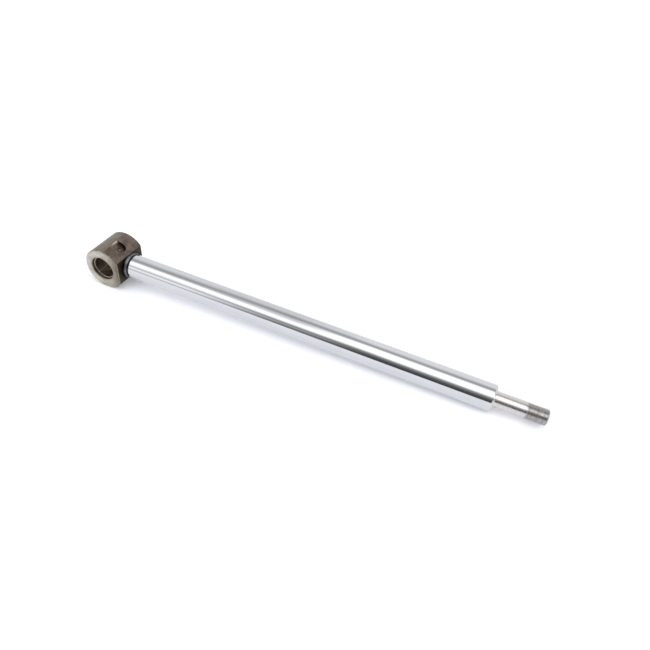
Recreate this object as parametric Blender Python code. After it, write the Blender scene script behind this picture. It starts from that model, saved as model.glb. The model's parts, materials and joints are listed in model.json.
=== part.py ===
"""Piston rod of a hydraulic cylinder, with its welded rod eye.

A chromed bar carries a turned, threaded spigot for the piston at one end. At the other end it is
butt welded to a rod eye: a length of round steel with a flat for the weld, a cross bore lined with a
wrapped bush, and a milled pocket that holds a ball lubricator. Metres, +Z up. The origin is the
centre of the eye's bore, +X runs along the rod towards the spigot, and Y is the axis of the bore.
"""

from math import acos, asin, cos, pi, radians, sin, sqrt

import bmesh
import bpy
from mathutils import Vector

MM = 0.001
GAP = 0.3 * MM  # left between pieces that touch

# Rod
ROD_RADIUS = 20.0 * MM
SPIGOT_RADIUS = 12.0 * MM
SHOULDER_X = 638.0 * MM
SPIGOT_END_X = 712.0 * MM
SHOULDER_CHAMFER = (2.6 * MM, 1.8 * MM)  # along the rod, in radius
SPIGOT_CHAMFER = 2.0 * MM
SPIGOT_ROOT_FILLET = 0.8 * MM
CENTRE_DRILL_RADIUS = 2.6 * MM
CENTRE_DRILL_DEPTH = 6.0 * MM
BARE_BAND = 1.6 * MM  # ground free of chrome beside the weld
BARE_BAND_DEPTH = 0.4 * MM

# Eye
EYE_RADIUS = 35.0 * MM
EYE_CENTRE_X = 3.0 * MM  # the round bar's axis lies this far from the bore's, towards the rod
EYE_WIDTH = 62.0 * MM
EYE_EDGE_CHAMFER = 1.0 * MM
FLAT_X = 31.5 * MM
BORE_RADIUS = 20.15 * MM
BORE_CHAMFER = 0.8 * MM

# Bush
BUSH_OUTER_RADIUS = BORE_RADIUS - GAP
BUSH_WALL = 1.95 * MM
BUSH_LENGTH = 53.6 * MM
BUSH_SEAM_WIDTH = 0.5 * MM
BUSH_SEAM_ANGLE = radians(225.0)  # in the XZ plane, from +X towards +Z
BUSH_EDGE_CHAMFER = 0.5 * MM

# Weld between the rod and the eye's flat
WELD_LENGTH = 7.6 * MM
WELD_ROOT_RADIUS = 12.5 * MM
WELD_TOE_RADIUS = 20.9 * MM
WELD_CROWN = 0.8 * MM

# Pocket and lubricator, on an axis that leans from +Z towards the rod
LUBRICATOR_LEAN = radians(32.5)
LUBRICATOR_Y = -2.0 * MM
POCKET_FLOOR = 32.3 * MM  # from the bore's axis
POCKET_START_Y = -27.5 * MM
POCKET_CORNER_RADIUS = 8.0 * MM  # one corner is round the lubricator, and sets the pocket's side and end
PORT_RADIUS = 4.0 * MM
PORT_DEPTH = 8.4 * MM
PORT_CHAMFER = 0.6 * MM
OIL_HOLE_RADIUS = 1.6 * MM
LUBRICATOR_RADIUS = PORT_RADIUS - GAP
LUBRICATOR_PROUD = 0.25 * MM
BALL_RADIUS = 1.5 * MM
BALL_SEAT_RADIUS = 1.2 * MM
BALL_CHAMBER_RADIUS = 1.9 * MM
SPRING_RADIUS = 1.22 * MM
SPRING_WIRE_RADIUS = 0.2 * MM
SPRING_TURNS = 3.5

ROUND_STEPS = 96
SMALL_STEPS = 32
OVERSHOOT = 10.0 * MM  # how far a cutter runs past what it cuts


def clear_scene():
    for obj in list(bpy.data.objects):
        bpy.data.objects.remove(obj, do_unlink=True)


def make_material(name, colour, metallic, roughness):
    material = bpy.data.materials.new(name)
    material.use_nodes = True
    shader = material.node_tree.nodes["Principled BSDF"]
    shader.inputs["Base Color"].default_value = (*colour, 1.0)
    shader.inputs["Metallic"].default_value = metallic
    shader.inputs["Roughness"].default_value = roughness
    material.diffuse_color = (*colour, 1.0)
    return material


def add_object(name, bm, material=None, parent=None, rotation=(0.0, 0.0, 0.0), location=(0.0, 0.0, 0.0)):
    bmesh.ops.recalc_face_normals(bm, faces=bm.faces)
    mesh = bpy.data.meshes.new(name)
    bm.to_mesh(mesh)
    bm.free()
    mesh.shade_smooth()
    mesh.set_sharp_from_angle(angle=radians(35.0))
    if material:
        mesh.materials.append(material)
    obj = bpy.data.objects.new(name, mesh)
    bpy.context.collection.objects.link(obj)
    obj.parent = parent
    obj.rotation_euler = rotation
    obj.location = location
    return obj


def turned(profile, steps, closed=False):
    """A solid of revolution about +Z. The profile holds (height, radius) pairs; unless it is closed,
    its first and last points are on the axis."""
    bm = bmesh.new()
    rings = []
    for height, radius in profile:
        if radius <= 0.0:
            rings.append([bm.verts.new((0.0, 0.0, height))])
            continue
        ring = []
        for i in range(steps):
            angle = 2.0 * pi * i / steps
            ring.append(bm.verts.new((radius * cos(angle), radius * sin(angle), height)))
        rings.append(ring)
    pairs = list(zip(rings, rings[1:]))
    if closed:
        pairs.append((rings[-1], rings[0]))
    for first, second in pairs:
        for i in range(steps):
            j = (i + 1) % steps
            corners = [first[i % len(first)], first[j % len(first)]]
            corners += [second[j % len(second)], second[i % len(second)]]
            bm.faces.new(list(dict.fromkeys(corners)))
    return bm


def prism(outline, low, high):
    """An outline of (x, y) points extruded along Z."""
    bm = bmesh.new()
    bottom = [bm.verts.new((x, y, low)) for x, y in outline]
    top = [bm.verts.new((x, y, high)) for x, y in outline]
    join_loops(bm, [bottom, top])
    return bm


def join_loops(bm, loops):
    """Skins a row of vertex loops and closes both ends."""
    count = len(loops[0])
    for first, second in zip(loops, loops[1:]):
        for i in range(count):
            j = (i + 1) % count
            bm.faces.new((first[i], first[j], second[j], second[i]))
    bm.faces.new(loops[0][::-1])
    bm.faces.new(loops[-1])


def arc(centre, radius, start, end, steps):
    points = []
    for i in range(steps + 1):
        angle = start + (end - start) * i / steps
        points.append((centre[0] + radius * cos(angle), centre[1] + radius * sin(angle)))
    return points


def cut(target, cutter):
    cutter.display_type = "WIRE"
    cutter.hide_render = True
    modifier = target.modifiers.new(cutter.name, "BOOLEAN")
    modifier.operation = "DIFFERENCE"
    modifier.solver = "EXACT"
    modifier.object = cutter


def piston_rod(material):
    """The bar, from its weld bevel to the far end of the spigot, turned about +X."""
    start = FLAT_X + GAP
    bevel_end = FLAT_X + WELD_LENGTH
    bare_radius = ROD_RADIUS - BARE_BAND_DEPTH
    fillet_centre = (SHOULDER_X + SPIGOT_ROOT_FILLET, SPIGOT_RADIUS + SPIGOT_ROOT_FILLET)
    profile = [
        (start, 0.0),
        (start, WELD_ROOT_RADIUS),
        (bevel_end, bare_radius),
        (bevel_end + BARE_BAND, bare_radius),
        (bevel_end + BARE_BAND + BARE_BAND_DEPTH, ROD_RADIUS),
        (SHOULDER_X - SHOULDER_CHAMFER[0], ROD_RADIUS),
        (SHOULDER_X, ROD_RADIUS - SHOULDER_CHAMFER[1]),
    ]
    profile += arc(fillet_centre, SPIGOT_ROOT_FILLET, pi, 1.5 * pi, 4)
    profile += [
        (SPIGOT_END_X - SPIGOT_CHAMFER, SPIGOT_RADIUS),
        (SPIGOT_END_X, SPIGOT_RADIUS - SPIGOT_CHAMFER),
        (SPIGOT_END_X, CENTRE_DRILL_RADIUS),
        (SPIGOT_END_X - CENTRE_DRILL_DEPTH, 0.0),
    ]
    return add_object("piston_rod", turned(profile, ROUND_STEPS), material, rotation=(0.0, 0.5 * pi, 0.0))


def eye_outline(inset):
    """The eye's outline in the XZ plane: a circle with its rod side cut off flat."""
    radius = EYE_RADIUS - inset
    flat = FLAT_X - inset
    edge = acos((flat - EYE_CENTRE_X) / radius)
    return arc((EYE_CENTRE_X, 0.0), radius, edge, 2.0 * pi - edge, ROUND_STEPS)


def eye_blank(material):
    bm = bmesh.new()
    half = 0.5 * EYE_WIDTH
    loops = []
    for y, inset in (
        (-half, EYE_EDGE_CHAMFER),
        (-half + EYE_EDGE_CHAMFER, 0.0),
        (half - EYE_EDGE_CHAMFER, 0.0),
        (half, EYE_EDGE_CHAMFER),
    ):
        loops.append([bm.verts.new((x, y, z)) for x, z in eye_outline(inset)])
    join_loops(bm, loops)
    return add_object("rod_eye", bm, material)


def bore_cutter():
    half = 0.5 * EYE_WIDTH
    wide = BORE_RADIUS + BORE_CHAMFER
    profile = [
        (-half - OVERSHOOT, 0.0),
        (-half - OVERSHOOT, wide + OVERSHOOT),
        (-half, wide),
        (-half + BORE_CHAMFER, BORE_RADIUS),
        (half - BORE_CHAMFER, BORE_RADIUS),
        (half, wide),
        (half + OVERSHOOT, wide + OVERSHOOT),
        (half + OVERSHOOT, 0.0),
    ]
    return add_object("bore_cutter", turned(profile, ROUND_STEPS), rotation=(-0.5 * pi, 0.0, 0.0))


def pocket_cutter(axis):
    """The end mill's path: it runs out through the crown, and leaves two round corners on the rod's side."""
    radius = POCKET_CORNER_RADIUS
    start = POCKET_START_Y - LUBRICATOR_Y
    far_side = -EYE_RADIUS - OVERSHOOT
    outline = [(far_side, start)]
    outline += arc((0.0, start + radius), radius, -0.5 * pi, 0.0, 12)
    outline += arc((0.0, 0.0), radius, 0.0, 0.5 * pi, 12)
    outline.append((far_side, radius))
    return add_object("pocket_cutter", prism(outline, POCKET_FLOOR, 2.0 * POCKET_FLOOR), parent=axis)


def port_cutter(axis):
    """The lubricator's hole, and the oil hole from its bottom into the bore."""
    bottom = POCKET_FLOOR - PORT_DEPTH
    wide = PORT_RADIUS + PORT_CHAMFER
    profile = [
        (0.5 * BORE_RADIUS, 0.0),
        (0.5 * BORE_RADIUS, OIL_HOLE_RADIUS),
        (bottom, OIL_HOLE_RADIUS),
        (bottom, PORT_RADIUS),
        (POCKET_FLOOR - PORT_CHAMFER, PORT_RADIUS),
        (POCKET_FLOOR, wide),
        (POCKET_FLOOR + PORT_CHAMFER, wide + PORT_CHAMFER),
        (POCKET_FLOOR + PORT_CHAMFER, 0.0),
    ]
    return add_object("port_cutter", turned(profile, SMALL_STEPS), parent=axis)


def eye_bush(material, axis):
    """A bush wrapped from strip: its ends meet at a narrow seam that runs along the bore."""
    bm = bmesh.new()
    inner = BUSH_OUTER_RADIUS - BUSH_WALL
    half = 0.5 * BUSH_LENGTH
    chamfer = BUSH_EDGE_CHAMFER
    section = [
        (-half, inner + chamfer),
        (-half + chamfer, inner),
        (half - chamfer, inner),
        (half, inner + chamfer),
        (half, BUSH_OUTER_RADIUS - chamfer),
        (half - chamfer, BUSH_OUTER_RADIUS),
        (-half + chamfer, BUSH_OUTER_RADIUS),
        (-half, BUSH_OUTER_RADIUS - chamfer),
    ]
    half_seam = asin(0.5 * BUSH_SEAM_WIDTH / inner)
    loops = []
    for i in range(ROUND_STEPS + 1):
        angle = BUSH_SEAM_ANGLE + half_seam + (2.0 * pi - 2.0 * half_seam) * i / ROUND_STEPS
        loops.append([bm.verts.new((r * cos(angle), y, r * sin(angle))) for y, r in section])
    join_loops(bm, loops)
    bush = add_object("eye_bush", bm, material)
    hole = [
        (0.5 * BORE_RADIUS, 0.0),
        (0.5 * BORE_RADIUS, OIL_HOLE_RADIUS),
        (BORE_RADIUS + OVERSHOOT, OIL_HOLE_RADIUS),
        (BORE_RADIUS + OVERSHOOT, 0.0),
    ]
    cut(bush, add_object("bush_hole_cutter", turned(hole, SMALL_STEPS), parent=axis))
    return bush


def weld_bead(material):
    """The weld fills the rod's bevel and stands slightly proud. Its toe stays on the eye's flat,
    which is only as high as the rod, so the bead is narrower at the top and bottom."""
    bm = bmesh.new()
    start = FLAT_X + GAP
    end = FLAT_X + WELD_LENGTH
    end_radius = ROD_RADIUS - BARE_BAND_DEPTH + GAP
    flat_half_height = sqrt(EYE_RADIUS**2 - (FLAT_X - EYE_CENTRE_X) ** 2)
    cap_steps = 8
    rings = []
    for i in range(ROUND_STEPS):
        angle = 2.0 * pi * i / ROUND_STEPS
        toe = WELD_TOE_RADIUS
        if abs(sin(angle)) * toe > flat_half_height - GAP:
            toe = (flat_half_height - GAP) / abs(sin(angle))
        section = [(start, WELD_ROOT_RADIUS + 1.5 * GAP)]
        for j in range(cap_steps + 1):
            t = j / cap_steps
            radius = toe + (end_radius - toe) * t + WELD_CROWN * sin(pi * t)
            section.append((start + (end - start) * t, radius))
        rings.append([bm.verts.new((x, r * cos(angle), r * sin(angle))) for x, r in section])
    count = len(rings[0])
    for i, ring in enumerate(rings):
        following = rings[(i + 1) % ROUND_STEPS]
        for j in range(count):
            k = (j + 1) % count
            bm.faces.new((ring[j], ring[k], following[k], following[j]))
    return add_object("weld_bead", bm, material)


def lubricator_body(material, axis):
    """A press-in ball lubricator: a turned cup with a funnel on top and a turned-in lip below."""
    bottom = POCKET_FLOOR - PORT_DEPTH + GAP
    top = POCKET_FLOOR + LUBRICATOR_PROUD
    seat = top - 1.8 * MM
    edge = 0.4 * MM
    profile = [
        (bottom, LUBRICATOR_RADIUS - edge),
        (bottom + edge, LUBRICATOR_RADIUS),
        (top - edge, LUBRICATOR_RADIUS),
        (top, LUBRICATOR_RADIUS - edge),
        (top, 2.0 * BALL_SEAT_RADIUS),
        (seat + edge, BALL_SEAT_RADIUS),
        (seat, BALL_SEAT_RADIUS),
        (seat - edge, BALL_CHAMBER_RADIUS),
        (bottom + 3.0 * edge, BALL_CHAMBER_RADIUS),
        (bottom + 2.0 * edge, BALL_SEAT_RADIUS - 0.5 * edge),
        (bottom, BALL_SEAT_RADIUS - 0.5 * edge),
    ]
    add_object("lubricator_body", turned(profile, SMALL_STEPS, closed=True), material, parent=axis)
    return seat, bottom + 3.0 * edge


def lubricator_ball(material, axis, seat):
    """The check ball, just under its seat. Its origin is its centre, on the axis that it moves along."""
    height = seat - sqrt(BALL_RADIUS**2 - BALL_SEAT_RADIUS**2) - GAP
    bm = bmesh.new()
    bmesh.ops.create_uvsphere(bm, u_segments=24, v_segments=16, radius=BALL_RADIUS)
    add_object("lubricator_ball", bm, material, parent=axis, location=(0.0, 0.0, height))
    return height - sqrt(BALL_RADIUS**2 - SPRING_RADIUS**2)


def lubricator_spring(material, axis, low, high):
    """A helix of round wire between the lip and the ball."""
    start = low + GAP + SPRING_WIRE_RADIUS
    end = high - GAP - SPRING_WIRE_RADIUS
    steps_per_turn = 14
    steps = int(SPRING_TURNS * steps_per_turn)
    sides = 6
    climb = (end - start) / (2.0 * pi * SPRING_TURNS * SPRING_RADIUS)
    bm = bmesh.new()
    loops = []
    for i in range(steps + 1):
        angle = 2.0 * pi * SPRING_TURNS * i / steps
        outward = Vector((cos(angle), sin(angle), 0.0))
        along = Vector((-sin(angle), cos(angle), climb)).normalized()
        across = along.cross(outward)
        centre = outward * SPRING_RADIUS + Vector((0.0, 0.0, start + (end - start) * i / steps))
        loop = []
        for j in range(sides):
            turn = 2.0 * pi * j / sides
            from_centre = outward * cos(turn) + across * sin(turn)
            loop.append(bm.verts.new(centre + SPRING_WIRE_RADIUS * from_centre))
        loops.append(loop)
    join_loops(bm, loops)
    add_object("lubricator_spring", bm, material, parent=axis)


def main():
    clear_scene()
    chrome = make_material("hard_chrome", (0.78, 0.79, 0.81), 1.0, 0.12)
    eye_steel = make_material("brown_eye_steel", (0.17, 0.145, 0.12), 0.7, 0.5)
    bush_steel = make_material("bush_steel", (0.20, 0.17, 0.14), 0.9, 0.38)
    weld_steel = make_material("weld_steel", (0.36, 0.37, 0.35), 0.9, 0.42)
    plated_steel = make_material("plated_steel", (0.55, 0.53, 0.48), 1.0, 0.3)
    ball_steel = make_material("ball_steel", (0.62, 0.62, 0.63), 1.0, 0.12)
    spring_steel = make_material("spring_steel", (0.42, 0.42, 0.44), 1.0, 0.3)

    axis = bpy.data.objects.new("lubricator_axis", None)
    axis.rotation_euler = (0.0, LUBRICATOR_LEAN, 0.0)
    axis.location = (0.0, LUBRICATOR_Y, 0.0)
    bpy.context.collection.objects.link(axis)

    piston_rod(chrome)
    eye = eye_blank(eye_steel)
    cut(eye, bore_cutter())
    cut(eye, pocket_cutter(axis))
    cut(eye, port_cutter(axis))
    eye_bush(bush_steel, axis)
    weld_bead(weld_steel)
    seat, lip = lubricator_body(plated_steel, axis)
    under_ball = lubricator_ball(ball_steel, axis, seat)
    lubricator_spring(spring_steel, axis, lip, under_ball)


main()
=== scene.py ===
import json
from math import acos, asin, atan2, cos, floor, pi, radians, sin, sqrt

import bmesh
import bpy
from mathutils import Matrix, Vector, noise


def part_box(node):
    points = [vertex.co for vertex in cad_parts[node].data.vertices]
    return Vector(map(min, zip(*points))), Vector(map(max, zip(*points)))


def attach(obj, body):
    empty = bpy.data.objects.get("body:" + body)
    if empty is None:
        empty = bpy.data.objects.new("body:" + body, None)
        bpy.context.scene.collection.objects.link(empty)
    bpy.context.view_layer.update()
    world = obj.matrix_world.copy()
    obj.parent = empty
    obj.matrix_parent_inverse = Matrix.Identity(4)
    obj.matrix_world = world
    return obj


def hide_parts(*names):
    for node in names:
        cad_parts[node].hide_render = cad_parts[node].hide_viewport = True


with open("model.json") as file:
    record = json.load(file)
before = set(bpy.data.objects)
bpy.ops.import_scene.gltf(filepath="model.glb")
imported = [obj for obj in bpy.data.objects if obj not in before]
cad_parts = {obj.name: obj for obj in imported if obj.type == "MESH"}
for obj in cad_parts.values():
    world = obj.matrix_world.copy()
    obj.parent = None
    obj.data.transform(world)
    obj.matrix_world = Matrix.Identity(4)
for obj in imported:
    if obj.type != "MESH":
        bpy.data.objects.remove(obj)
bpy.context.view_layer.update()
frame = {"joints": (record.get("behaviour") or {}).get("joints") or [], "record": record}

MM = 0.001

# ---------------------------------------------------------------------------------------------------
# Sizes read from the frame
# ---------------------------------------------------------------------------------------------------
rod_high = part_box("piston_rod")[1]
eye_low, eye_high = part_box("rod_eye")
bush_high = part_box("eye_bush")[1]
weld_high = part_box("weld_bead")[1]
ball_low, ball_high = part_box("lubricator_ball")
mounts = {mount["name"]: mount for mount in frame["record"]["mounts"]}
ball_joint = next(joint for joint in frame["joints"] if joint["name"] == "ball_lift")

ROD_RADIUS = rod_high.z
SPIGOT_END_X = rod_high.x
SHOULDER_X = mounts["piston_seat"]["pos_m"][0]
EYE_RADIUS = eye_high.z
EYE_CENTRE_X = eye_low.x + EYE_RADIUS
EYE_HALF_WIDTH = eye_high.y
FLAT_X = eye_high.x
BUSH_OUTER_RADIUS = bush_high.z
BUSH_HALF_LENGTH = bush_high.y
WELD_END_X = weld_high.x
BALL_CENTRE = (ball_low + ball_high) / 2
BALL_RADIUS = (ball_high.y - ball_low.y) / 2
LUBRICATOR_UP = -Vector(ball_joint["axis"]).normalized()
BALL_LIFT = 0.8 * MM

# Sizes of the details
SPIGOT_RADIUS = 12.0 * MM
SHOULDER_CHAMFER = (2.6 * MM, 1.8 * MM)
SPIGOT_CHAMFER = 2.0 * MM
BARE_BAND = 1.6 * MM
BARE_DEPTH = 0.4 * MM
THREAD_LENGTH = 31.0 * MM
THREAD_PITCH = 1.5 * MM
THREAD_DEPTH = 0.92 * MM
EYE_EDGE_CHAMFER = 1.0 * MM
BORE_RADIUS = 20.15 * MM
BORE_CHAMFER = 0.8 * MM
BUSH_WALL = 1.95 * MM
BUSH_SEAM_ANGLE = radians(225.0)
POCKET_FLOOR = 32.3 * MM
POCKET_START_Y = -27.5 * MM
POCKET_RADIUS = 8.0 * MM
PORT_RADIUS = 4.0 * MM
PORT_DEPTH = 8.4 * MM
PORT_CHAMFER = 0.6 * MM
OIL_HOLE_RADIUS = 1.6 * MM
LUBRICATOR_PROUD = 0.25 * MM
BALL_SEAT_RADIUS = 1.2 * MM
BALL_CHAMBER_RADIUS = 1.9 * MM
SPRING_RADIUS = 1.22 * MM
SPRING_WIRE_RADIUS = 0.2 * MM
SPRING_TURNS = 3.5
WELD_TOE_RADIUS = 20.9 * MM
WELD_ROOT_RADIUS = 13.0 * MM
WELD_CROWN = 0.75 * MM
WELD_RIPPLES = 64
WELD_RIPPLE_HEIGHT = 0.13 * MM
WELD_LUMP_HEIGHT = 0.22 * MM

# Frames of the turned pieces: each is made about +Z, then placed
ALONG_X = Matrix.Rotation(0.5 * pi, 4, "Y")
ALONG_Y = Matrix.Rotation(-0.5 * pi, 4, "X")
LUBRICATOR_LEAN = atan2(LUBRICATOR_UP.x, LUBRICATOR_UP.z)
LUBRICATOR = Matrix.Translation((0.0, BALL_CENTRE.y, 0.0)) @ Matrix.Rotation(LUBRICATOR_LEAN, 4, "Y")


# ---------------------------------------------------------------------------------------------------
# Node helpers
# ---------------------------------------------------------------------------------------------------
def node(tree, kind, inputs=None, **settings):
    """A node with its settings, and each input set to a value or linked to a socket."""
    made = tree.nodes.new(kind)
    for name, value in settings.items():
        setattr(made, name, value)
    for key, value in (inputs or {}).items():
        if isinstance(value, bpy.types.NodeSocket):
            tree.links.new(value, made.inputs[key])
        else:
            made.inputs[key].default_value = value
    return made


def math(tree, operation, *values, clamp=False):
    """A sum or function of sockets and numbers."""
    made = node(tree, "ShaderNodeMath", operation=operation, use_clamp=clamp)
    for socket, value in zip(made.inputs, values):
        if isinstance(value, bpy.types.NodeSocket):
            tree.links.new(value, socket)
        else:
            socket.default_value = value
    return made.outputs[0]


def spread(tree, value, low, high, to_low=0.0, to_high=1.0, smooth=True):
    """value between low and high, mapped to between to_low and to_high."""
    kind = "SMOOTHSTEP" if smooth else "LINEAR"
    inputs = {"Value": value, "From Min": low, "From Max": high, "To Min": to_low, "To Max": to_high}
    return node(tree, "ShaderNodeMapRange", inputs, interpolation_type=kind).outputs["Result"]


def blend_colour(tree, factor, first, second):
    """first where factor is 0, second where it is 1. Each is a socket or a colour."""
    made = node(tree, "ShaderNodeMix", data_type="RGBA")
    for socket, value in ((made.inputs[0], factor), (made.inputs[6], first), (made.inputs[7], second)):
        if isinstance(value, bpy.types.NodeSocket):
            tree.links.new(value, socket)
        elif isinstance(value, tuple):
            socket.default_value = (*value, 1.0)
        else:
            socket.default_value = value
    return made.outputs[2]


def coordinates(tree, scale=(1.0, 1.0, 1.0), rotation=(0.0, 0.0, 0.0), location=(0.0, 0.0, 0.0)):
    """Object coordinates in metres, scaled, then turned, then moved."""
    place = node(tree, "ShaderNodeTexCoord").outputs["Object"]
    inputs = {"Vector": place, "Scale": scale, "Rotation": rotation, "Location": location}
    return node(tree, "ShaderNodeMapping", inputs).outputs["Vector"]


def grain(tree, scale, detail=4.0, roughness=0.55, stretch=(1.0, 1.0, 1.0), distortion=0.0):
    """Noise from 0 to 1. scale times stretch is in features per metre."""
    inputs = {
        "Vector": coordinates(tree, stretch),
        "Scale": scale,
        "Detail": detail,
        "Roughness": roughness,
        "Distortion": distortion,
    }
    return node(tree, "ShaderNodeTexNoise", inputs).outputs["Fac"]


def bump(tree, height, depth, strength):
    inputs = {"Height": height, "Distance": depth, "Strength": strength}
    return node(tree, "ShaderNodeBump", inputs).outputs["Normal"]


def surface(name, colour, metallic, roughness):
    """A Principled material: its tree and its shader."""
    material = bpy.data.materials.new(name)
    material.use_nodes = True
    tree = material.node_tree
    shader = tree.nodes["Principled BSDF"]
    shader.inputs["Base Color"].default_value = (*colour, 1.0)
    shader.inputs["Metallic"].default_value = metallic
    shader.inputs["Roughness"].default_value = roughness
    material.diffuse_color = (*colour, 1.0)
    return material, tree, shader


def drive(tree, shader, **sockets):
    names = {"colour": "Base Color", "roughness": "Roughness", "normal": "Normal"}
    for key, value in sockets.items():
        tree.links.new(value, shader.inputs[names[key]])


def position(tree, axis):
    """Object-space X, Y or Z in metres."""
    return node(tree, "ShaderNodeSeparateXYZ", {"Vector": coordinates(tree)}).outputs[axis]


def distance_from_axis(tree, across):
    """Distance in metres from an axis through the origin. across keeps the two directions across it."""
    flat = node(tree, "ShaderNodeVectorMath", {0: coordinates(tree, across)}, operation="LENGTH")
    return flat.outputs["Value"]


# ---------------------------------------------------------------------------------------------------
# Materials
# ---------------------------------------------------------------------------------------------------
def chrome_material():
    """Ground and polished hard chrome: faint circumferential grinding lines and a few soft smears."""
    material, tree, shader = surface("hard_chrome", (0.62, 0.625, 0.635), 1.0, 0.06)
    lines = grain(tree, 1.0, 3.0, 0.6, stretch=(2600.0, 60.0, 60.0))
    smears = grain(tree, 1.0, 3.0, 0.6, stretch=(14.0, 90.0, 90.0))
    rough = spread(tree, smears, 0.35, 0.75, 0.04, 0.08)
    rough = math(tree, "ADD", rough, spread(tree, lines, 0.5, 0.8, 0.0, 0.03))
    colour = blend_colour(tree, spread(tree, smears, 0.3, 0.7), (0.64, 0.645, 0.655), (0.60, 0.605, 0.62))
    start = WELD_END_X + BARE_BAND + BARE_DEPTH
    clean = spread(tree, position(tree, "X"), start, start + 1.6 * MM)
    colour = blend_colour(tree, clean, (0.05, 0.05, 0.075), colour)
    drive(tree, shader, roughness=rough, colour=colour, normal=bump(tree, lines, 0.000002, 0.35))
    return material


def turned_steel(name, colour, shade, roughness, line_scale, depth):
    """Bare steel with the lathe's or grinder's lines round it."""
    material, tree, shader = surface(name, colour, 1.0, roughness)
    lines = grain(tree, 1.0, 4.0, 0.7, stretch=(line_scale, 40.0, 40.0))
    stains = grain(tree, 1.0, 5.0, 0.6, stretch=(60.0, 120.0, 120.0))
    tone = blend_colour(tree, spread(tree, lines, 0.3, 0.7), colour, shade)
    tone = blend_colour(tree, spread(tree, stains, 0.5, 0.8, 0.0, 0.5), tone, tuple(0.7 * c for c in shade))
    rough = spread(tree, lines, 0.3, 0.75, roughness - 0.05, roughness + 0.08)
    drive(tree, shader, colour=tone, roughness=rough, normal=bump(tree, lines, depth, 0.6))
    return material


def heat_tint_material():
    """The band beside the weld, bare of chrome and blued almost black by the heat."""
    material, tree, shader = surface("heat_tint", (0.01, 0.01, 0.016), 0.7, 0.42)
    shader.inputs["Specular IOR Level"].default_value = 0.15
    patches = spread(tree, grain(tree, 220.0, 4.0), 0.35, 0.7)
    colour = blend_colour(tree, patches, (0.006, 0.006, 0.011), (0.022, 0.021, 0.032))
    drive(tree, shader, colour=colour, normal=bump(tree, grain(tree, 2400.0, 3.0), 0.00004, 0.5))
    return material


def mill_skin_material():
    """The eye's outside: mottled mill skin, red-brown towards the rod and grey-green away from it."""
    material, tree, shader = surface("mill_skin", (0.14, 0.107, 0.083), 0.55, 0.5)
    mottle = grain(tree, 90.0, 6.0, 0.62)
    fine = grain(tree, 900.0, 4.0, 0.6)
    streaks = grain(tree, 1.0, 4.0, 0.6, stretch=(260.0, 30.0, 260.0))
    patches = spread(tree, mottle, 0.32, 0.66)
    red = blend_colour(tree, patches, (0.085, 0.060, 0.046), (0.175, 0.135, 0.108))
    green = blend_colour(tree, patches, (0.125, 0.108, 0.085), (0.23, 0.208, 0.175))
    ragged = math(tree, "MULTIPLY", math(tree, "SUBTRACT", mottle, 0.5), 20.0 * MM)
    side = math(tree, "ADD", position(tree, "X"), ragged)
    colour = blend_colour(tree, spread(tree, side, 1.0 * MM, 8.0 * MM), green, red)
    colour = blend_colour(tree, spread(tree, streaks, 0.5, 0.8, 0.0, 0.5), colour, (0.22, 0.195, 0.155))
    colour = blend_colour(tree, spread(tree, fine, 0.55, 0.8, 0.0, 0.4), colour, (0.06, 0.043, 0.033))
    rough = spread(tree, mottle, 0.3, 0.75, 0.40, 0.58)
    height = math(tree, "ADD", math(tree, "MULTIPLY", mottle, 0.6), math(tree, "MULTIPLY", fine, 0.4))
    drive(tree, shader, colour=colour, roughness=rough, normal=bump(tree, height, 0.00012, 0.6))
    return material


def machined_face_material():
    """The eye's faced ends: pale steel with the tool's rings, darker round the bore, grimy at the outer
    edge, and browned by the weld's heat towards the flat."""
    material, tree, shader = surface("machined_face", (0.60, 0.57, 0.46), 0.85, 0.42)
    radius = distance_from_axis(tree, (1.0, 0.0, 1.0))
    rings = math(tree, "SINE", math(tree, "MULTIPLY", radius, 2.0 * pi / (0.35 * MM)))
    wander = grain(tree, 160.0, 5.0, 0.6)
    stain = grain(tree, 45.0, 5.0, 0.6, distortion=0.8)
    grey = spread(tree, position(tree, "X"), -22.0 * MM, 12.0 * MM, 0.0, 0.75, smooth=False)
    light = blend_colour(tree, grey, (0.56, 0.545, 0.515), (0.55, 0.505, 0.445))
    olive = spread(tree, position(tree, "Z"), -8.0 * MM, -30.0 * MM, 0.0, 0.85, smooth=False)
    light = blend_colour(tree, olive, light, (0.53, 0.50, 0.375))
    colour = blend_colour(tree, spread(tree, stain, 0.35, 0.7), light, (0.39, 0.36, 0.295))
    colour = blend_colour(tree, spread(tree, wander, 0.52, 0.78, 0.0, 0.6), colour, (0.30, 0.265, 0.21))
    tempered = spread(tree, position(tree, "X"), 9.0 * MM, 31.0 * MM, 0.0, 0.92, smooth=False)
    colour = blend_colour(tree, tempered, colour, (0.115, 0.086, 0.048))
    # darker round the bore's mouth
    inner = spread(tree, radius, 20.6 * MM, 24.5 * MM, 0.6, 0.0)
    colour = blend_colour(tree, inner, colour, (0.25, 0.225, 0.17))
    rim = spread(tree, radius, 31.0 * MM, 33.5 * MM, 0.0, 0.35)
    colour = blend_colour(tree, rim, colour, (0.30, 0.27, 0.21))
    height = math(tree, "ADD", math(tree, "MULTIPLY", rings, 0.15), wander)
    drive(tree, shader, colour=colour, roughness=spread(tree, wander, 0.3, 0.7, 0.36, 0.5),
          normal=bump(tree, height, 0.00003, 0.5))
    return material


def edge_material():
    """The small turned chamfer round the eye's ends: browned steel with a few rubbed spots."""
    material, tree, shader = surface("turned_edge", (0.20, 0.175, 0.135), 0.9, 0.36)
    nicks = grain(tree, 500.0, 4.0)
    colour = blend_colour(tree, spread(tree, nicks, 0.42, 0.72), (0.17, 0.145, 0.105), (0.40, 0.37, 0.32))
    drive(tree, shader, colour=colour, normal=bump(tree, nicks, 0.00005, 0.6))
    return material


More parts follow.
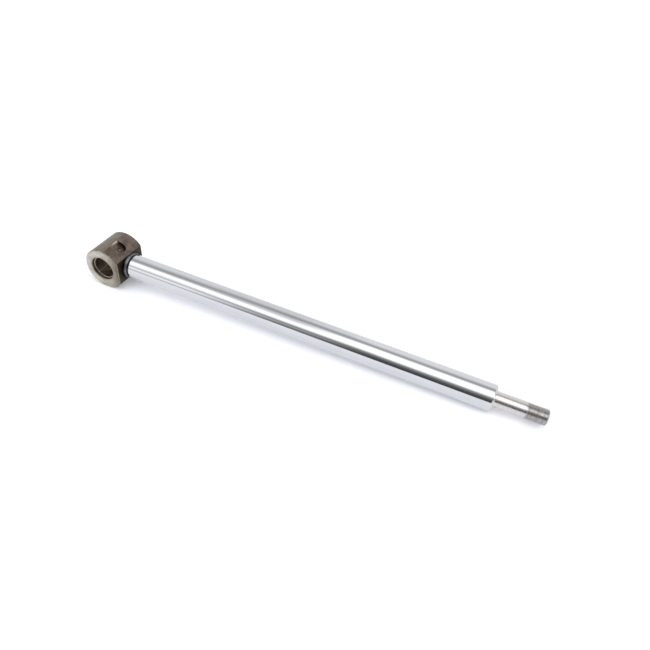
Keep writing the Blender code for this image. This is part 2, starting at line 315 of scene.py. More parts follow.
def sawn_flat_material():
    """The flat that the rod is welded to: dark brown, with cutter lines, and painted shade round the weld.
    """
    material, tree, shader = surface("weld_flat", (0.05, 0.038, 0.022), 0.7, 0.5)
    shader.inputs["Specular IOR Level"].default_value = 0.25
    lines = grain(tree, 1.0, 3.0, 0.6, stretch=(1.0, 90.0, 1400.0))
    smoke = grain(tree, 120.0, 5.0)
    low = spread(tree, position(tree, "Z"), -19.0 * MM, -2.0 * MM, 0.7, 0.0, smooth=False)
    colour = blend_colour(tree, spread(tree, smoke, 0.35, 0.7), (0.038, 0.027, 0.013), (0.062, 0.048, 0.026))
    colour = blend_colour(tree, low, colour, (0.085, 0.075, 0.058))
    # painted shade: near black on the flat close round the weld bead
    reach = distance_from_axis(tree, (0.0, 1.0, 1.0))
    reach = math(tree, "ADD", reach, math(tree, "MULTIPLY", smoke, 4.0 * MM))
    painted_weld_shade = spread(tree, reach, 23.0 * MM, 32.0 * MM, 0.85, 0.0, smooth=False)
    colour = blend_colour(tree, painted_weld_shade, colour, (0.009, 0.007, 0.005))
    drive(tree, shader, colour=colour, roughness=spread(tree, smoke, 0.3, 0.7, 0.42, 0.6),
          normal=bump(tree, lines, 0.00004, 0.5))
    return material


def milled_pocket_material():
    """The pocket's milled floor: smoother brown than the skin outside it, with a painted highlight where it
    runs out on the crown, and painted shade towards its end wall and in the corner by its side wall."""
    material, tree, shader = surface("milled_pocket", (0.16, 0.135, 0.11), 0.75, 0.4)
    arcs = grain(tree, 1.0, 3.0, 0.55, stretch=(120.0, 1500.0, 120.0))
    cloud = grain(tree, 110.0, 5.0)
    colour = blend_colour(tree, spread(tree, cloud, 0.35, 0.7), (0.105, 0.080, 0.060), (0.165, 0.128, 0.10))
    # painted highlight: a pale patch on the floor where it runs out on the crown
    run_out = spread(tree, position(tree, "X"), 5.2 * MM, 9.5 * MM, 1.0, 0.0)
    painted_highlight = math(tree, "MULTIPLY", run_out, spread(tree, position(tree, "Y"), -13.0 * MM, 1.0 * MM))
    line = spread(tree, position(tree, "X"), 5.4 * MM, 6.4 * MM, 0.35, 0.0)
    floor_place = coordinates(
        tree, rotation=(0.0, -LUBRICATOR_LEAN, 0.0), location=(0.0, -BALL_CENTRE.y, -POCKET_FLOOR)
    )
    local = node(tree, "ShaderNodeSeparateXYZ", {"Vector": floor_place}).outputs
    # painted shade: darker towards the pocket's end wall and the corner by its side wall, less where the
    # floor runs out
    at_end = spread(tree, local["Y"], -3.0 * MM, 5.0 * MM)
    at_side = spread(tree, local["X"], 5.0 * MM, 7.8 * MM)
    at_side = math(tree, "MULTIPLY", at_side, spread(tree, local["Y"], -6.0 * MM, -1.0 * MM))
    kept = math(tree, "SUBTRACT", 0.92, run_out, clamp=True)
    painted_corner_shade = math(tree, "MULTIPLY", math(tree, "MAXIMUM", at_end, at_side), kept)
    colour = blend_colour(tree, painted_corner_shade, colour, (0.020, 0.014, 0.010))
    # painted highlight, and a pale line along the run-out edge
    colour = blend_colour(tree, math(tree, "MAXIMUM", painted_highlight, line), colour, (0.62, 0.49, 0.39))
    drive(tree, shader, colour=colour, roughness=spread(tree, arcs, 0.3, 0.7, 0.30, 0.42),
          normal=bump(tree, arcs, 0.00003, 0.5))
    return material


def dark_bore_material(name, colour, roughness):
    """Oiled, dark steel inside the bore. The pocket's wall uses it too, with a near-black colour that is
    painted shade.
    """
    material, tree, shader = surface(name, colour, 0.85, roughness)
    cloud = grain(tree, 140.0, 5.0)
    lines = grain(tree, 1.0, 3.0, 0.6, stretch=(80.0, 1200.0, 80.0))
    tone = blend_colour(tree, spread(tree, cloud, 0.35, 0.7), tuple(0.65 * c for c in colour), colour)
    rough = spread(tree, cloud, 0.3, 0.7, roughness - 0.06, roughness + 0.08)
    drive(tree, shader, colour=tone, roughness=rough, normal=bump(tree, lines, 0.00003, 0.4))
    return material


def weld_material():
    """Weld metal: dull lavender grey along the crown, with painted shade at the flat, and blued at the rod.
    """
    material, tree, shader = surface("weld_metal", (0.12, 0.118, 0.118), 0.9, 0.36)
    shader.inputs["Specular IOR Level"].default_value = 0.3
    along = position(tree, "X")
    specks = grain(tree, 700.0, 5.0, 0.65)
    ragged = math(tree, "ADD", along, math(tree, "MULTIPLY", math(tree, "SUBTRACT", specks, 0.5), 2.0 * MM))
    # painted shade: near black where the bead meets the flat
    painted_weld_shade = spread(tree, ragged, FLAT_X + 1.4 * MM, FLAT_X + 4.6 * MM, 0.97, 0.0)
    tint = spread(tree, along, WELD_END_X - 1.3 * MM, WELD_END_X - 0.3 * MM)
    colour = blend_colour(tree, spread(tree, specks, 0.4, 0.7), (0.19, 0.187, 0.19), (0.085, 0.083, 0.085))
    colour = blend_colour(tree, painted_weld_shade, colour, (0.014, 0.011, 0.008))
    colour = blend_colour(tree, tint, colour, (0.010, 0.010, 0.017))
    drive(tree, shader, colour=colour, roughness=spread(tree, specks, 0.3, 0.75, 0.26, 0.46),
          normal=bump(tree, specks, 0.00008, 0.6))
    return material


def plain_metal(name, colour, roughness, scale=800.0):
    material, tree, shader = surface(name, colour, 1.0, roughness)
    specks = grain(tree, scale, 4.0)
    tone = blend_colour(tree, spread(tree, specks, 0.4, 0.75), colour, tuple(0.6 * c for c in colour))
    drive(tree, shader, colour=tone, roughness=spread(tree, specks, 0.3, 0.75, roughness, roughness + 0.12),
          normal=bump(tree, specks, 0.00002, 0.5))
    return material


# ---------------------------------------------------------------------------------------------------
# Mesh helpers
# ---------------------------------------------------------------------------------------------------
def finish_object(name, bm, materials, place=None, sharp=40.0):
    if place:
        bmesh.ops.transform(bm, matrix=place, verts=bm.verts)
    bmesh.ops.recalc_face_normals(bm, faces=bm.faces)
    mesh = bpy.data.meshes.new(name)
    bm.to_mesh(mesh)
    bm.free()
    mesh.shade_smooth()
    mesh.set_sharp_from_angle(angle=radians(sharp))
    for material in materials:
        mesh.materials.append(material)
    obj = bpy.data.objects.new(name, mesh)
    bpy.context.scene.collection.objects.link(obj)
    return obj


def softened(points, radius, steps=4):
    """The corners of a polyline of (along, radius) pairs rounded off, with a point either side of each
    arc so that smooth shading stays true on the straight stretches."""
    result = [Vector(points[0])]
    for before, corner, after in zip(points, points[1:], points[2:]):
        before, corner, after = Vector(before), Vector(corner), Vector(after)
        back, ahead = before - corner, after - corner
        reach = min(radius, 0.3 * back.length, 0.3 * ahead.length)
        start = corner + back.normalized() * reach
        end = corner + ahead.normalized() * reach
        result.append(corner + back.normalized() * 1.3 * reach)
        for i in range(steps + 1):
            t = i / steps
            result.append(start.lerp(corner, t).lerp(corner.lerp(end, t), t))
        result.append(corner + ahead.normalized() * 1.3 * reach)
    result.append(Vector(points[-1]))
    return result


def revolve(rows, steps, closed=False, radius_at=None, slot_at=None):
    """A turned mesh about +Z. rows holds (height, radius) pairs, a radius of 0 makes a pole, radius_at may
    change a radius by height and angle, and slot_at gives a face's material slot by height."""
    bm = bmesh.new()
    rings = []
    for height, radius in rows:
        if radius <= 0.0:
            rings.append([bm.verts.new((0.0, 0.0, height))])
            continue
        ring = []
        for i in range(steps):
            angle = 2.0 * pi * i / steps
            r = radius_at(height, radius, angle) if radius_at else radius
            ring.append(bm.verts.new((r * cos(angle), r * sin(angle), height)))
        rings.append(ring)
    pairs = list(zip(range(len(rings)), range(1, len(rings))))
    if closed:
        pairs.append((len(rings) - 1, 0))
    for a, b in pairs:
        first, second = rings[a], rings[b]
        slot = slot_at(0.5 * (rows[a][0] + rows[b][0]), 0.5 * (rows[a][1] + rows[b][1])) if slot_at else 0
        for i in range(steps):
            j = (i + 1) % steps
            corners = [first[i % len(first)], first[j % len(first)]]
            corners += [second[j % len(second)], second[i % len(second)]]
            face = bm.faces.new(list(dict.fromkeys(corners)))
            face.material_index = slot
    return bm


def arc(centre, radius, start, end, steps):
    points = []
    for i in range(steps + 1):
        angle = start + (end - start) * i / steps
        points.append((centre[0] + radius * cos(angle), centre[1] + radius * sin(angle)))
    return points


def skin(bm, loops):
    """Faces from each loop to the next, with a cap on the first and the last."""
    count = len(loops[0])
    for first, second in zip(loops, loops[1:]):
        for i in range(count):
            j = (i + 1) % count
            bm.faces.new((first[i], first[j], second[j], second[i]))
    bm.faces.new(loops[0][::-1])
    bm.faces.new(loops[-1])


def cut_away(target, cutters, bevel=0.0):
    """Applies the cuts, and an edge bevel, to target's mesh, and removes the cutters."""
    for cutter in cutters:
        modifier = target.modifiers.new("cut", "BOOLEAN")
        modifier.operation = "DIFFERENCE"
        modifier.solver = "EXACT"
        modifier.object = cutter
    if bevel:
        modifier = target.modifiers.new("edges", "BEVEL")
        modifier.width = bevel
        modifier.segments = 3
        modifier.limit_method = "ANGLE"
        modifier.angle_limit = radians(24.0)
        modifier.use_clamp_overlap = True
    graph = bpy.context.evaluated_depsgraph_get()
    mesh = bpy.data.meshes.new_from_object(target.evaluated_get(graph))
    target.modifiers.clear()
    target.data = mesh
    for cutter in cutters:
        bpy.data.objects.remove(cutter, do_unlink=True)


def settle(piece, body, cad_node):
    """Every piece: the body that it rides on and the CAD node that it stands for."""
    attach(piece, body)
    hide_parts(cad_node)


# ---------------------------------------------------------------------------------------------------
# Rod
# ---------------------------------------------------------------------------------------------------
def thread_radius(height, radius, angle):
    """The spigot's radius: a right-hand 60 degree thread that runs out towards the shoulder."""
    start = SPIGOT_END_X - THREAD_LENGTH
    if height <= start or radius < SPIGOT_RADIUS - 1.2 * SPIGOT_CHAMFER:
        return radius
    phase = (height - start) / THREAD_PITCH - angle / (2.0 * pi)
    from_crest = abs(phase - floor(phase + 0.5))
    cut = min(max((from_crest - 0.11) / 0.33, 0.0), 1.0)
    runout = min((height - start) / (2.6 * THREAD_PITCH), 1.0)
    return min(radius, SPIGOT_RADIUS - THREAD_DEPTH * (cut - 0.12 * cut**4) * runout)


def make_rod():
    start = FLAT_X + 0.3 * MM
    bare = ROD_RADIUS - BARE_DEPTH
    band_end = WELD_END_X + BARE_BAND
    outline = [
        (start, 12.5 * MM),
        (WELD_END_X, bare),
        (band_end, bare),
        (band_end + BARE_DEPTH, ROD_RADIUS),
        (SHOULDER_X - SHOULDER_CHAMFER[0], ROD_RADIUS),
        (SHOULDER_X, ROD_RADIUS - SHOULDER_CHAMFER[1]),
        (SHOULDER_X, SPIGOT_RADIUS + 0.8 * MM),
        (SHOULDER_X + 0.8 * MM, SPIGOT_RADIUS),
        (SPIGOT_END_X - THREAD_LENGTH, SPIGOT_RADIUS),
    ]
    rows = [(start, 0.0), (start, 6.0 * MM)] + [tuple(p) for p in softened(outline, 0.35 * MM)]
    threaded = int(THREAD_LENGTH / THREAD_PITCH * 12)
    for i in range(1, threaded + 1):
        height = SPIGOT_END_X - THREAD_LENGTH * (1.0 - i / threaded)
        radius = min(SPIGOT_RADIUS, SPIGOT_RADIUS - SPIGOT_CHAMFER + (SPIGOT_END_X - height))
        rows.append((height, radius))
    end_radius = SPIGOT_RADIUS - SPIGOT_CHAMFER
    centre_drill = [
        (SPIGOT_END_X, end_radius - 0.1 * MM),
        (SPIGOT_END_X, 2.9 * MM),
        (SPIGOT_END_X - 2.6 * MM, 1.3 * MM),
        (SPIGOT_END_X - 5.2 * MM, 1.3 * MM),
        (SPIGOT_END_X - 6.0 * MM, 0.4 * MM),
    ]
    rows += [tuple(p) for p in softened(centre_drill, 0.15 * MM)]
    rows.append((SPIGOT_END_X - 6.0 * MM, 0.0))

    def slot_at(height, radius):
        if height < band_end + 0.1 * MM:
            return 1
        if height < SHOULDER_X - SHOULDER_CHAMFER[0] + 0.1 * MM:
            return 0
        if height < SPIGOT_END_X - THREAD_LENGTH or radius < end_radius - 0.05 * MM:
            return 2
        return 3

    materials = [
        chrome_material(),
        heat_tint_material(),
        turned_steel("ground_spigot", (0.70, 0.68, 0.66), (0.52, 0.50, 0.48), 0.24, 2600.0, 0.000006),
        turned_steel("thread_steel", (0.54, 0.52, 0.51), (0.36, 0.345, 0.335), 0.14, 900.0, 0.000004),
    ]
    bm = revolve(rows, 192, radius_at=thread_radius, slot_at=slot_at)
    rod = finish_object("chromed_rod", bm, materials, ALONG_X, sharp=75.0)
    settle(rod, "rod", "piston_rod")


# ---------------------------------------------------------------------------------------------------
# Eye
# ---------------------------------------------------------------------------------------------------
def eye_outline(inset, steps=192):
    radius = EYE_RADIUS - inset
    edge = acos((FLAT_X - inset - EYE_CENTRE_X) / radius)
    return arc((EYE_CENTRE_X, 0.0), radius, edge, 2.0 * pi - edge, steps)


def bore_cutter():
    wide = BORE_RADIUS + BORE_CHAMFER
    far = EYE_HALF_WIDTH + 10.0 * MM
    rows = [
        (-far, 0.0),
        (-far, wide + 10.0 * MM),
        (-EYE_HALF_WIDTH, wide),
        (-EYE_HALF_WIDTH + BORE_CHAMFER, BORE_RADIUS),
        (EYE_HALF_WIDTH - BORE_CHAMFER, BORE_RADIUS),
        (EYE_HALF_WIDTH, wide),
        (far, wide + 10.0 * MM),
        (far, 0.0),
    ]
    return finish_object("bore_cutter", revolve(rows, 192), [], ALONG_Y)


def pocket_cutter():
    start = POCKET_START_Y - BALL_CENTRE.y
    far_side = -EYE_RADIUS - 10.0 * MM
    outline = [(far_side, start)]
    outline += arc((0.0, start + POCKET_RADIUS), POCKET_RADIUS, -0.5 * pi, 0.0, 24)
    outline += arc((0.0, 0.0), POCKET_RADIUS, 0.0, 0.5 * pi, 24)
    outline.append((far_side, POCKET_RADIUS))
    bm = bmesh.new()
    skin(bm, [[bm.verts.new((x, y, z)) for x, y in outline] for z in (POCKET_FLOOR, 2.0 * POCKET_FLOOR)])
    return finish_object("pocket_cutter", bm, [], LUBRICATOR)


def port_cutter():
    bottom = POCKET_FLOOR - PORT_DEPTH
    wide = PORT_RADIUS + PORT_CHAMFER
    rows = [
        (0.5 * BORE_RADIUS, 0.0),
        (0.5 * BORE_RADIUS, OIL_HOLE_RADIUS),
        (bottom, OIL_HOLE_RADIUS),
        (bottom, PORT_RADIUS),
        (POCKET_FLOOR - PORT_CHAMFER, PORT_RADIUS),
        (POCKET_FLOOR, wide),
        (POCKET_FLOOR + PORT_CHAMFER, wide + PORT_CHAMFER),
        (POCKET_FLOOR + PORT_CHAMFER, 0.0),
    ]
    return finish_object("port_cutter", revolve(rows, 64), [], LUBRICATOR)


def eye_slot(centre, normal):
    """Which of the eye's surfaces a face belongs to."""
    local = LUBRICATOR.inverted() @ centre
    from_bore = sqrt(centre.x**2 + centre.z**2)
    from_bar = sqrt((centre.x - EYE_CENTRE_X) ** 2 + centre.z**2)
    if abs(normal.y) > 0.96 and abs(centre.y) > EYE_HALF_WIDTH - 0.2 * MM:
        return 1
    if from_bore < BORE_RADIUS + 0.15 * MM:
        return 5
    if from_bore < BORE_RADIUS + BORE_CHAMFER + 0.3 * MM and abs(centre.y) > EYE_HALF_WIDTH - 1.5 * MM:
        return 2
    pocket_end_y = BALL_CENTRE.y + POCKET_RADIUS
    if POCKET_START_Y - 0.3 * MM < centre.y < pocket_end_y + 0.3 * MM and centre.z > BORE_RADIUS:
        if abs(local.z - POCKET_FLOOR) < 0.03 * MM:
            return 4
        if local.x < POCKET_RADIUS + 0.3 * MM and from_bar < EYE_RADIUS - 0.1 * MM:
            return 6
    if abs(centre.y) > EYE_HALF_WIDTH - EYE_EDGE_CHAMFER + 0.05 * MM and abs(normal.y) > 0.25:
        return 2
    if normal.x > 0.9 and centre.x > FLAT_X - 0.3 * MM:
        return 3
    return 0


def make_eye():
    bm = bmesh.new()
    loops = []
    for y, inset in (
        (-EYE_HALF_WIDTH, EYE_EDGE_CHAMFER),
        (-EYE_HALF_WIDTH + EYE_EDGE_CHAMFER, 0.0),
        (EYE_HALF_WIDTH - EYE_EDGE_CHAMFER, 0.0),
        (EYE_HALF_WIDTH, EYE_EDGE_CHAMFER),
    ):
        loops.append([bm.verts.new((x, y, z)) for x, z in eye_outline(inset)])
    skin(bm, loops)
    materials = [
        mill_skin_material(),
        machined_face_material(),
        edge_material(),
        sawn_flat_material(),
        milled_pocket_material(),
        dark_bore_material("bore_wall", (0.20, 0.175, 0.125), 0.42),
        # the pocket's wall: its near-black colour is painted shade
        dark_bore_material("pocket_wall", (0.05, 0.026, 0.015), 0.5),
    ]
    eye = finish_object("eye_block", bm, materials)
    cut_away(eye, [bore_cutter(), pocket_cutter(), port_cutter()], bevel=0.25 * MM)
    for face in eye.data.polygons:
        face.material_index = eye_slot(face.center, face.normal)
    eye.data.shade_smooth()
    eye.data.set_sharp_from_angle(angle=radians(30.0))
    settle(eye, "rod", "rod_eye")


# ---------------------------------------------------------------------------------------------------
# Weld
# ---------------------------------------------------------------------------------------------------
def make_weld():
    """A rippled bead. Its toe stays on the flat, which is only as high as the rod."""
    bm = bmesh.new()
    around, across = 480, 22
    start, end = FLAT_X + 0.02 * MM, WELD_END_X
    end_radius = ROD_RADIUS - BARE_DEPTH + 0.02 * MM
    flat_half_height = sqrt(EYE_RADIUS**2 - (FLAT_X - EYE_CENTRE_X) ** 2)
    rings = []
    for i in range(around):
        angle = 2.0 * pi * i / around
        toe = WELD_TOE_RADIUS
        if abs(sin(angle)) * toe > flat_half_height - 0.1 * MM:
            toe = (flat_half_height - 0.1 * MM) / abs(sin(angle))
        here = Vector((cos(angle), sin(angle), 0.0))
        section = [(start, WELD_ROOT_RADIUS)]
        for j in range(across + 1):
            t = j / across
            crescent = WELD_RIPPLES * angle + 2.6 * cos(pi * (t - 0.5)) + 1.4 * noise.noise(here * 3.0)
            ripple = WELD_RIPPLE_HEIGHT * sin(pi * t) ** 0.5 * (0.5 + 0.5 * cos(crescent)) ** 0.7
            lump = WELD_LUMP_HEIGHT * sin(pi * t) * noise.noise(here * 9.0 + Vector((0.0, 0.0, 2.0 * t)))
            crown = WELD_CROWN * sin(pi * t) ** 0.8
            section.append((start + (end - start) * t, toe + (end_radius - toe) * t + crown + ripple + lump))
        rings.append([bm.verts.new((x, r * cos(angle), r * sin(angle))) for x, r in section])
    count = len(rings[0])
    for i, ring in enumerate(rings):
        following = rings[(i + 1) % around]
        for j in range(count):
            k = (j + 1) % count
            bm.faces.new((ring[j], ring[k], following[k], following[j]))
    weld = finish_object("weld_ring", bm, [weld_material()], sharp=60.0)
    settle(weld, "rod", "weld_bead")


# ---------------------------------------------------------------------------------------------------
# Bush
# ---------------------------------------------------------------------------------------------------
def make_bush():
    """Wrapped from strip: the two ends meet at a seam along the bore, with their edges broken."""
    bm = bmesh.new()
    inner = BUSH_OUTER_RADIUS - BUSH_WALL
    edge = 0.5 * MM
    half = BUSH_HALF_LENGTH
    seam_gap = 0.14 * MM
    loops = []
    angles = []
    for distance, drop in ((0.0, 0.28), (0.1, 0.10), (0.28, 0.0), (0.6, 0.0)):
        angles.append(((0.5 * seam_gap + distance * MM) / inner, drop * MM))
    steps = 240
    first, last = angles[-1][0], 2.0 * pi - angles[-1][0]
    middle = [(first + (last - first) * i / steps, 0.0) for i in range(1, steps)]
    closing = [(2.0 * pi - a, drop) for a, drop in reversed(angles)]
    for turn, drop in angles + middle + closing:
        angle = BUSH_SEAM_ANGLE + turn
        section = softened([
            (-half + edge, inner + drop),
            (half - edge, inner + drop),
            (half, inner + edge),
            (half, BUSH_OUTER_RADIUS - edge),
            (half - edge, BUSH_OUTER_RADIUS),
            (-half + edge, BUSH_OUTER_RADIUS),
            (-half, BUSH_OUTER_RADIUS - edge),
            (-half, inner + edge),
            (-half + edge, inner + drop),
        ], 0.1 * MM, 2)[:-1]
        loops.append([bm.verts.new((r * cos(angle), y, r * sin(angle))) for y, r in section])
    skin(bm, loops)
    bush = finish_object("wrapped_bush", bm, [bush_material()])
    rows = [
        (0.5 * BORE_RADIUS, 0.0),
        (0.5 * BORE_RADIUS, OIL_HOLE_RADIUS),
        (1.4 * BORE_RADIUS, OIL_HOLE_RADIUS),
        (1.4 * BORE_RADIUS, 0.0),
    ]
    cut_away(bush, [finish_object("oil_cutter", revolve(rows, 48), [], LUBRICATOR)])
    bush.data.shade_smooth()
    bush.data.set_sharp_from_angle(angle=radians(40.0))
    settle(bush, "rod", "eye_bush")


def bush_material():
    """Dark oiled bearing steel, lighter along the seam, with a painted highlight round the ends."""
    material, tree, shader = surface("bearing_steel", (0.20, 0.165, 0.125), 0.9, 0.36)
    cloud = grain(tree, 120.0, 5.0)
    lines = grain(tree, 1.0, 3.0, 0.6, stretch=(80.0, 1400.0, 80.0))
    colour = blend_colour(tree, spread(tree, cloud, 0.35, 0.7), (0.15, 0.118, 0.085), (0.29, 0.245, 0.19))
    parts = node(tree, "ShaderNodeSeparateXYZ", {"Vector": coordinates(tree)})
    sideways = math(tree, "MULTIPLY", parts.outputs["X"], -sin(BUSH_SEAM_ANGLE))
    sideways = math(tree, "ADD", sideways, math(tree, "MULTIPLY", parts.outputs["Z"], cos(BUSH_SEAM_ANGLE)))
    seam = spread(tree, math(tree, "ABSOLUTE", sideways), 0.5 * MM, 1.0 * MM, 1.0, 0.0)
    towards = math(tree, "MULTIPLY", parts.outputs["X"], cos(BUSH_SEAM_ANGLE))
    towards = math(tree, "ADD", towards, math(tree, "MULTIPLY", parts.outputs["Z"], sin(BUSH_SEAM_ANGLE)))
    seam = math(tree, "MULTIPLY", seam, math(tree, "GREATER_THAN", towards, 0.0))
    from_middle = math(tree, "ABSOLUTE", parts.outputs["Y"])
    # painted highlight round the bush's ends
    painted_end_highlight = spread(tree, from_middle, BUSH_HALF_LENGTH - 0.7 * MM, BUSH_HALF_LENGTH)
    seam_and_end_highlight = math(tree, "MAXIMUM", seam, math(tree, "MULTIPLY", painted_end_highlight, 0.6))
    colour = blend_colour(tree, seam_and_end_highlight, colour, (0.62, 0.56, 0.47))
    drive(tree, shader, colour=colour, roughness=spread(tree, cloud, 0.3, 0.7, 0.3, 0.44),
          normal=bump(tree, lines, 0.00002, 0.4))
    return material


# ---------------------------------------------------------------------------------------------------
# Lubricator
# ---------------------------------------------------------------------------------------------------
def make_lubricator():
    bottom = POCKET_FLOOR - PORT_DEPTH + 0.3 * MM
    top = POCKET_FLOOR + LUBRICATOR_PROUD
    outer = PORT_RADIUS - 0.05 * MM
    seat = top - 1.8 * MM
    edge = 0.4 * MM
    outline = [
        (bottom, BALL_SEAT_RADIUS - 0.5 * edge),
        (bottom, outer - edge),
        (bottom + edge, outer),
        (top - edge, outer),
        (top, outer - edge),
        (top, 2.0 * BALL_SEAT_RADIUS),
        (seat + edge, BALL_SEAT_RADIUS),
        (seat, BALL_SEAT_RADIUS),
        (seat - edge, BALL_CHAMBER_RADIUS),
        (bottom + 3.0 * edge, BALL_CHAMBER_RADIUS),
        (bottom + 2.0 * edge, BALL_SEAT_RADIUS - 0.5 * edge),
        (bottom, BALL_SEAT_RADIUS - 0.5 * edge),
    ]
    rows = [tuple(p) for p in softened(outline, 0.12 * MM, 3)][:-1]
    cup = finish_object(
        "lubricator_cup",
        revolve(rows, 96, closed=True),
        [plain_metal("oiled_steel", (0.12, 0.09, 0.068), 0.30)],
        LUBRICATOR,
    )
    settle(cup, "rod", "lubricator_body")

    bm = bmesh.new()
    bmesh.ops.create_uvsphere(bm, u_segments=48, v_segments=32, radius=BALL_RADIUS)
    ball = finish_object(
        "check_ball_piece",
        bm,
        [plain_metal("ball_steel", (0.60, 0.57, 0.53), 0.12)],
        Matrix.Translation(BALL_CENTRE),
    )
    settle(ball, "check_ball", "lubricator_ball")


def make_spring():
    """The ball's spring: a fine helix, as short as the ball at the end of its travel leaves it."""
    wire, radius, turns, sides = SPRING_WIRE_RADIUS, SPRING_RADIUS, SPRING_TURNS, 10
    bottom = POCKET_FLOOR - PORT_DEPTH + 0.3 * MM + 1.2 * MM + 0.5 * MM
    lowest = (LUBRICATOR.inverted() @ BALL_CENTRE).z - BALL_LIFT
    top = lowest - sqrt(BALL_RADIUS**2 - (radius - wire) ** 2) - wire - 0.05 * MM
    steps = int(turns * 36)
    bm = bmesh.new()
    loops = []
    climb = (top - bottom) / (2.0 * pi * turns * radius)
    for i in range(steps + 1):
        angle = 2.0 * pi * turns * i / steps
        outward = Vector((cos(angle), sin(angle), 0.0))
        across = Vector((-sin(angle), cos(angle), climb)).normalized().cross(outward)
        centre = outward * radius + Vector((0.0, 0.0, bottom + (top - bottom) * i / steps))
        loop = []
        for j in range(sides):
            turn = 2.0 * pi * j / sides
            loop.append(bm.verts.new(centre + wire * (outward * cos(turn) + across * sin(turn))))
        loops.append(loop)
    skin(bm, loops)
    material = plain_metal("spring_wire", (0.45, 0.45, 0.47), 0.28)
    spring = finish_object("check_spring", bm, [material], LUBRICATOR)
    settle(spring, "rod", "lubricator_spring")


# ---------------------------------------------------------------------------------------------------
# Stage: floor, light and camera
# ---------------------------------------------------------------------------------------------------
CAMERA_TARGET = Vector((0.3708, 0.0226, 0.0))
CAMERA_DISTANCE = 0.8813
CAMERA_AZIMUTH = radians(19.143)
CAMERA_ELEVATION = radians(42.485)
CAMERA_ROLL = radians(6.75)
CAMERA_LENS = 32.0


def floor_tilt():
    """The slope that touches both the eye and the edge of the rod's shoulder."""
    edge_x = SHOULDER_X - SHOULDER_CHAMFER[0]
    return asin((EYE_RADIUS - ROD_RADIUS) / (edge_x - EYE_CENTRE_X))


def make_floor():
    tilt = floor_tilt()
    size = 6.0
    bm = bmesh.new()
    bmesh.ops.create_grid(bm, x_segments=2, y_segments=2, size=size)
    place = Matrix.Translation((EYE_CENTRE_X, 0.0, 0.0)) @ Matrix.Rotation(-tilt, 4, "Y")
    place = place @ Matrix.Translation((0.0, 0.0, -EYE_RADIUS - 0.02 * MM))
    material, tree, shader = surface("floor_paper", (0.88, 0.89, 0.93), 0.0, 0.8)
    shader.inputs["Specular IOR Level"].default_value = 0.1
    shader.inputs["Emission Color"].default_value = (0.97, 0.98, 1.0, 1.0)
    shader.inputs["Emission Strength"].default_value = 0.2
    obj = finish_object("floor", bm, [material], place)


RAMP_TOP = 2.5  # brightness of the world at the top of a colour ramp's range
# Angle in degrees and brightness, seen from the eye's end, the rod's middle and the spigot
LIGHT_STOPS = (
    (
        (0, 0.92), (32, 1.03), (54, 0.95), (66, 0.72), (81, 0.46), (90, 0.56), (98, 0.92), (105, 1.4),
        (112, 2.1), (122, 2.2), (130, 1.45), (137, 1.15), (144, 0.82), (150, 0.90), (158, 1.4),
        (166, 1.2), (175, 0.75),
    ),
    (
        (0, 0.95), (44, 0.93), (54, 0.80), (64, 0.57), (73, 0.43), (81, 0.62), (90, 0.82), (106, 1.15),
        (114, 1.6), (129, 2.0), (136, 1.25), (144, 0.58), (151, 0.33), (158, 0.60), (166, 0.30),
        (175, 0.22),
    ),
    (
        (0, 1.05), (44, 1.10), (54, 0.92), (64, 0.60), (73, 0.46), (81, 0.80), (88, 1.4), (96, 2.2),
        (118, 2.2), (130, 1.40), (136, 0.75), (142, 0.38), (151, 0.24), (159, 0.12), (175, 0.075),
    ),
)


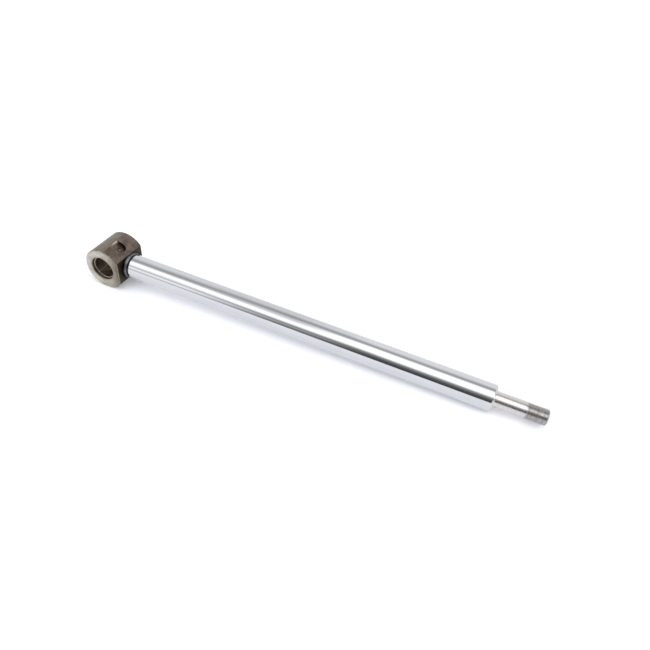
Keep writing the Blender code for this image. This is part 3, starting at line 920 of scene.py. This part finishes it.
def make_world():
    """A white studio: a pale backdrop behind, a dark gap, a wide softbox overhead and a darker room in
    front, where a second, narrow softbox stands towards the eye's end."""
    world = bpy.data.worlds.new("studio")
    bpy.context.scene.world = world
    world.use_nodes = True
    tree = world.node_tree
    tree.nodes.clear()
    direction = node(tree, "ShaderNodeTexCoord").outputs["Generated"]
    parts = node(tree, "ShaderNodeSeparateXYZ", {"Vector": direction})
    angle = math(tree, "ARCTAN2", parts.outputs["Z"], parts.outputs["Y"])
    around = math(tree, "DIVIDE", angle, pi)
    near_eye, middle, near_spigot = (profile(tree, around, stops) for stops in LIGHT_STOPS)
    studio = blend_colour(tree, spread(tree, parts.outputs["X"], -0.50, -0.30), near_eye, middle)
    studio = blend_colour(tree, spread(tree, parts.outputs["X"], -0.30, -0.14), studio, near_spigot)
    seen = node(tree, "ShaderNodeLightPath").outputs["Is Camera Ray"]
    colour = blend_colour(tree, seen, studio, (1.0 / RAMP_TOP, 1.0 / RAMP_TOP, 1.0 / RAMP_TOP))
    background = node(tree, "ShaderNodeBackground", {"Color": colour, "Strength": RAMP_TOP})
    output = node(tree, "ShaderNodeOutputWorld")
    tree.links.new(background.outputs[0], output.inputs["Surface"])


def profile(tree, around, stops):
    """Brightness by angle in degrees, from the horizon behind the object over the top to the front."""
    ramp = node(tree, "ShaderNodeValToRGB", {"Fac": around})
    elements = ramp.color_ramp.elements
    while len(elements) > 1:
        elements.remove(elements[-1])
    for i, (angle, value) in enumerate(stops):
        element = elements[0] if i == 0 else elements.new(angle / 180.0)
        element.position = angle / 180.0
        element.color = (value / RAMP_TOP, value / RAMP_TOP, 1.02 * value / RAMP_TOP, 1.0)
    return ramp.outputs["Color"]


def make_camera():
    camera = bpy.data.cameras.new("camera")
    camera.lens = CAMERA_LENS
    camera.sensor_width = 36.0
    camera.clip_start = 0.01
    camera.clip_end = 100.0
    obj = bpy.data.objects.new("camera", camera)
    back = Vector((
        sin(CAMERA_AZIMUTH) * cos(CAMERA_ELEVATION),
        -cos(CAMERA_AZIMUTH) * cos(CAMERA_ELEVATION),
        sin(CAMERA_ELEVATION),
    ))
    turn = back.to_track_quat("Z", "Y").to_matrix().to_4x4() @ Matrix.Rotation(CAMERA_ROLL, 4, "Z")
    obj.matrix_world = Matrix.Translation(CAMERA_TARGET + back * CAMERA_DISTANCE) @ turn
    bpy.context.scene.collection.objects.link(obj)
    bpy.context.scene.camera = obj


make_camera()
make_world()
make_floor()
make_rod()
make_eye()
make_weld()
make_bush()
make_lubricator()
make_spring()
bpy.context.scene.view_settings.view_transform = "Standard"
